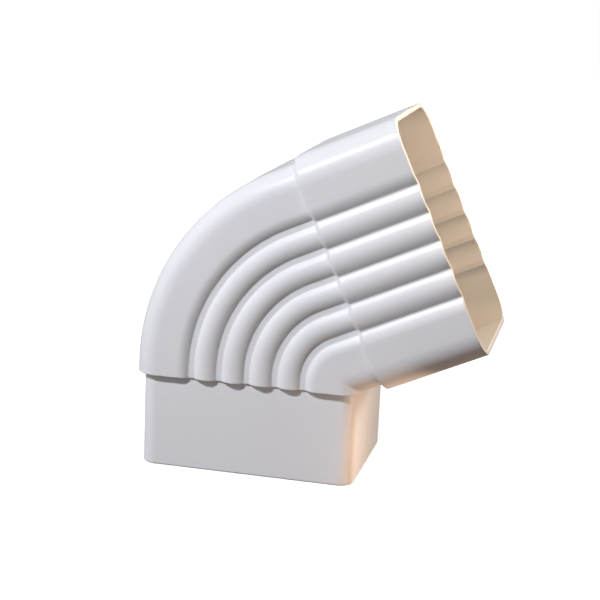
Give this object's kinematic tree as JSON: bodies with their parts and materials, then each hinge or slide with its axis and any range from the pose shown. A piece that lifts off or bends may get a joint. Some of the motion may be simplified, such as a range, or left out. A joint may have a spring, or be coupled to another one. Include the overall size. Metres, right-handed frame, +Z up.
{
  "type": "downpipe elbow",
  "caption": "Moulded white vinyl elbow for an oblong rain pipe: a plain spigot below, a fluted bend on its wide faces and a slanted fluted socket above.",
  "frame": {"origin": "centre of the spigot's open end, on the plane of its end face", "axes": "+Z up along the spigot into the elbow, +X across the wide faces towards the inside of the bend, the way the socket leans, +Y through the narrow depth of the pipe, square to the plane of the bend"},
  "size_m": [0.1222, 0.0646, 0.1277],
  "materials": {
    "white_vinyl": "smooth moulded white vinyl with a soft gloss"
  },
  "bodies": {
    "root": {"elbow": "white_vinyl"}
  },
  "joints": []
}
